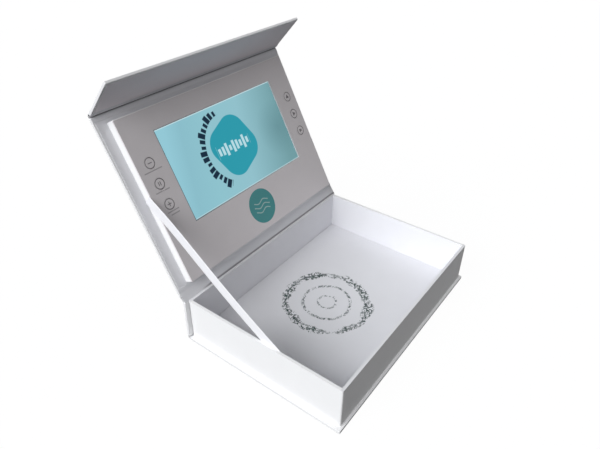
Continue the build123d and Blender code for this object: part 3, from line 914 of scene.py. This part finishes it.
# The ribbon stay
ribbonLook = {
    "width": 0.0108,
    "thickness": 0.00036,
    "platformX": -0.10785,
    "wallX": -0.1121,
    "top": lidPoint(0.0843, 0.0108) + [0.0005, -0.0008],
    "rim": np.array([-0.0114, 0.0446]),
    "glued": 0.010,
    "tuck": 0.012,
    "leaves": 0.008,
    "arrives": 0.004,
    "bow": 0.0007,
    "cordSwell": 0.12,
    "count": 220,
    "columns": 17,
    "colour": (252, 252, 254),
    "shade": (240, 240, 245),
    "rowPace": 9000.0,
    "cordPace": 14000.0,
    "cordFrom": 0.0045,
}


def ribbonFinish(look=ribbonLook):
    # Satin: fine rows across the ribbon and closer cords along its two edges, from its own UV map
    fixed = {"Sheen Weight": 0.25, "Sheen Roughness": 0.4, "Specular IOR Level": 0.4}
    finish = Finish("satin_ribbon", fixed)
    across, along = finish.ownMap()
    rows = ((along * look["rowPace"]).sine() * 0.5) + 0.5
    cords = ((across * look["cordPace"]).sine() * 0.5) + 0.5
    edge = ((abs(across) - look["cordFrom"]) * 2200.0).clip()
    cloud = finish.noise(finish.place(), 160.0, 3.0)
    share = (rows * 0.3 + cords * 0.15 + edge * 0.25 + cloud * 0.45 - 0.1).clip()
    finish.set(Base_Color=finish.mix(share, paint(*look["shade"]), paint(*look["colour"])))
    height = rows * (1.0 - edge) + cords * edge + rows * 0.2
    return finish.set(Roughness=0.38 + cloud * 0.14, Normal=finish.bump(height, 0.00006, 0.6))


def makeRibbon(look=ribbonLook):
    # A straight run from the platform's side to the tray's wall, in the YZ plane; X goes from the
    # one to the other by a smooth step and bows a little between, and the edges are a rounded cord
    run = look["rim"] - look["top"]
    length = np.linalg.norm(run)
    run = run / length
    across = np.array([-run[1], run[0]])
    s = np.linspace(-look["glued"], length + look["tuck"], look["count"])
    u = np.linspace(-0.5, 0.5, look["columns"])
    step = smooth(s, look["leaves"], length - look["arrives"])
    x = look["platformX"] + (look["wallX"] - look["platformX"]) * step
    x = x - look["bow"] * np.sin(pi * np.clip(s / length, 0, 1)) ** 2
    middle = look["top"] + s[:, None] * run
    flat = middle[:, None, :] + u[None, :, None] * look["width"] * across
    rounded = np.sqrt(np.clip(1 - (2 * np.abs(u)) ** 14, 0.02, 1))
    half = look["thickness"] / 2 * rounded * (1 + look["cordSwell"] * smooth(np.abs(u), 0.4, 0.46))

    def face(side):
        depth = x[:, None] + side * half[None, :]
        return np.concatenate([depth[:, :, None], flat], 2)

    uv = np.stack(np.broadcast_arrays(u[None, :] * look["width"], s[:, None]), 2)
    ribbon = slab("stayRibbon", face(1), face(-1), ribbonFinish(), uv)
    return ribbon, length + look["glued"] + look["tuck"]


ribbon, ribbonLength = makeRibbon()
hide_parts("stay_ribbon")
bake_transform(ribbon)
print("ribbon made:", round(ribbonLength, 4), "m end to end")

# Floor, lamp and sky
stageLook = {
    "floorSize": 30.0,
    "floorZ": -0.0002,
    "floorColour": (60, 60, 61),
    "floorShade": 0.99,
    "floorLift": 0.965,
    "keyLean": 32.0,
    "keyTurn": 9.0,
    "keySpread": 50.0,
    "keyPower": 3.0,
    "keyColour": (0.97, 0.985, 1.0),
    "sky": 0.33,
}
white = (1, 1, 1, 1)


def makeFloor(look=stageLook):
    # One quad just under the box; what the camera sees of it is lifted to white, less its shadow
    half = look["floorSize"] / 2
    corners = [(-half, -half), (half, -half), (half, half), (-half, half)]
    mesh = bpy.data.meshes.new("floor")
    mesh.from_pydata([(x, y, look["floorZ"]) for x, y in corners], [], [(0, 1, 2, 3)])
    finish = Finish("floor_finish", {"Roughness": 0.9, "Specular IOR Level": 0.0})
    grain = finish.noise(finish.place(), 30.0, 2.0)
    dull = [channel * look["floorShade"] for channel in look["floorColour"]]
    finish.set(Base_Color=finish.mix(grain, paint(*dull), paint(*look["floorColour"])))
    strength = finish.seenRay() * look["floorLift"]
    lift = finish.node("ShaderNodeEmission", inputs={"Color": white, "Strength": strength})
    shade = Wire(finish, finish.shader.outputs[0])
    both = finish.node("ShaderNodeAddShader", inputs={0: shade, 1: lift})
    finish.feed(both, finish.tree.nodes["Material Output"].inputs["Surface"])
    mesh.materials.append(finish.material)
    addToScene("floor", mesh)


def makeKey(look=stageLook):
    # One wide, soft key light from the left, a little behind the box, like a large window
    data = bpy.data.lights.new("keyLight", "SUN")
    data.energy, data.color = look["keyPower"], look["keyColour"]
    data.angle = radians(look["keySpread"])
    lean, turn = radians(look["keyLean"]), radians(look["keyTurn"])
    toward = Vector((cos(lean) * cos(turn), -cos(lean) * sin(turn), -sin(lean)))
    key = addToScene("keyLight", data)
    key.matrix_world = toward.to_track_quat("-Z", "Y").to_matrix().to_4x4()


def makeSky(look=stageLook):
    # The same dim light from all sides; straight to the eye, in gloss and glass it is white
    world = bpy.data.worlds.new("sky")
    world.use_nodes = True
    bpy.context.scene.world = world
    sky = Nodes(world.node_tree)
    seen = sky.seenRay()
    background = sky.tree.nodes["Background"]
    sky.feed(white, background.inputs["Color"])
    sky.feed(look["sky"] * (1.0 - seen) + seen, background.inputs["Strength"])


makeFloor()
makeKey()
makeSky()
bpy.context.scene.view_settings.view_transform = "Standard"
print("stage lit")
